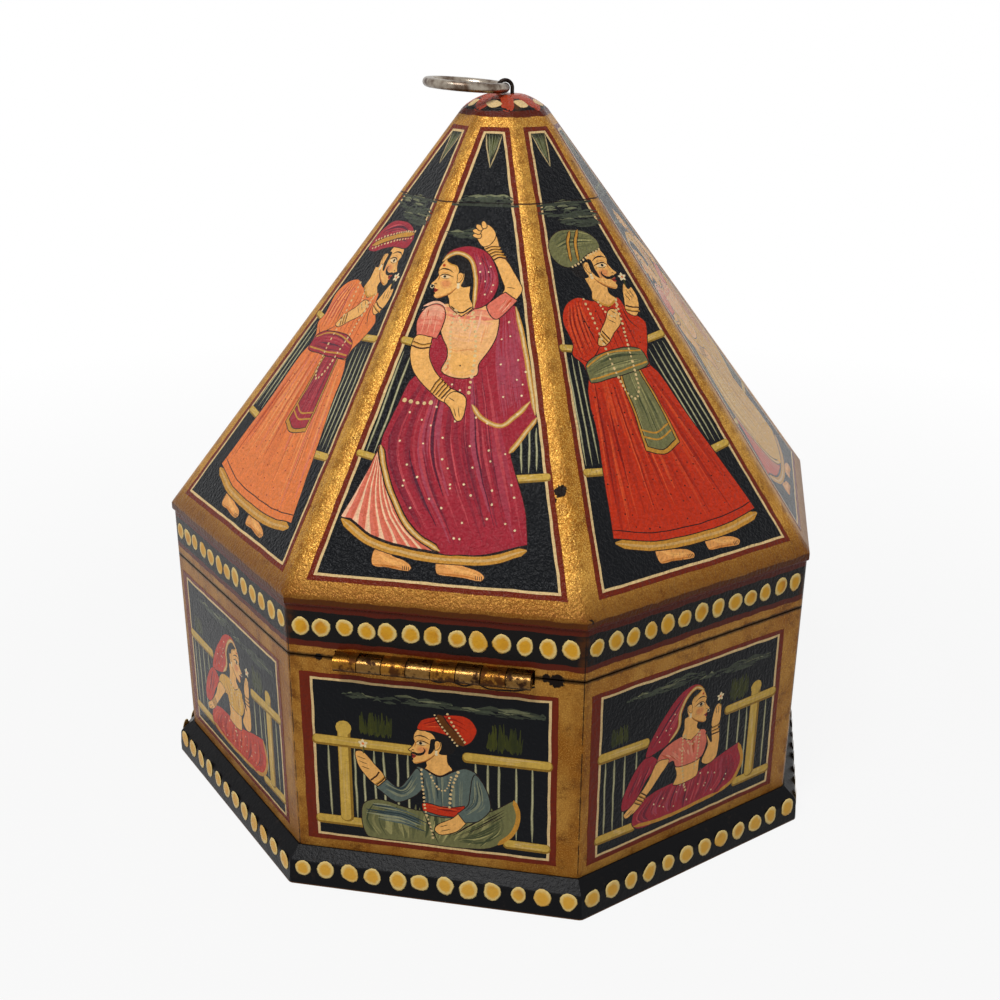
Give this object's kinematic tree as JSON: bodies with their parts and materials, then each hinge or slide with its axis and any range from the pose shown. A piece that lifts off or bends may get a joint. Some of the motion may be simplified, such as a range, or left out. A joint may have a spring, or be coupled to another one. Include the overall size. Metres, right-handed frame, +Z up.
{
  "type": "octagonal painted wooden box",
  "caption": "Octagonal painted wooden box with a hinged pyramid lid, moulded plinth and a wire ring on the crown.",
  "frame": {"origin": "centre of the plinth's underside", "axes": "+Z up through the crown; the hinge side faces -Y; +X to the right when the hinge side faces the viewer"},
  "size_m": [0.1448, 0.1448, 0.1534],
  "materials": {
    "plinth_paint": "black lacquer paint under varnish, row of yellow dots round the edge",
    "wall_paint": "bronze-gold paint borders round blue-black painted panels, glossy varnish",
    "band_paint": "bronze-gold paint with a black band of yellow dots, glossy varnish",
    "roof_paint": "bronze-gold paint ridges round blue-black painted panels, glossy varnish",
    "hinge_brass": "worn brass, partly painted over",
    "eye_wire": "blackened iron wire",
    "ring_steel": "tarnished steel wire"
  },
  "bodies": {
    "box": {"plinth": "plinth_paint", "wall_board_1": "wall_paint", "wall_board_2": "wall_paint", "wall_board_3": "wall_paint", "wall_board_4": "wall_paint", "wall_board_5": "wall_paint", "wall_board_6": "wall_paint", "wall_board_7": "wall_paint", "wall_board_8": "wall_paint", "lower_hinge_leaf": "hinge_brass", "hinge_pin": "hinge_brass", "lower_leaf_nails": "hinge_brass"},
    "lid": {"band_board_1": "band_paint", "band_board_2": "band_paint", "band_board_3": "band_paint", "band_board_4": "band_paint", "band_board_5": "band_paint", "band_board_6": "band_paint", "band_board_7": "band_paint", "band_board_8": "band_paint", "roof_board_1": "roof_paint", "roof_board_2": "roof_paint", "roof_board_3": "roof_paint", "roof_board_4": "roof_paint", "roof_board_5": "roof_paint", "roof_board_6": "roof_paint", "roof_board_7": "roof_paint", "roof_board_8": "roof_paint", "crown_block": "roof_paint", "ring_eye": "eye_wire", "upper_hinge_leaf": "hinge_brass", "upper_leaf_nails": "hinge_brass"},
    "ring": {"ring": "ring_steel"}
  },
  "joints": [
    {"name": "lid_hinge", "type": "hinge", "parent": "box", "child": "lid", "pos_m": [0, -0.0708, 0.0513], "axis": [1, 0, 0], "range_deg": [0, 145]},
    {"name": "ring_swing", "type": "hinge", "parent": "lid", "child": "ring", "pos_m": [0, 0, 0.1513], "axis": [-0.1908, 0.9816, 0], "range_deg": [-14, 186]}
  ]
}
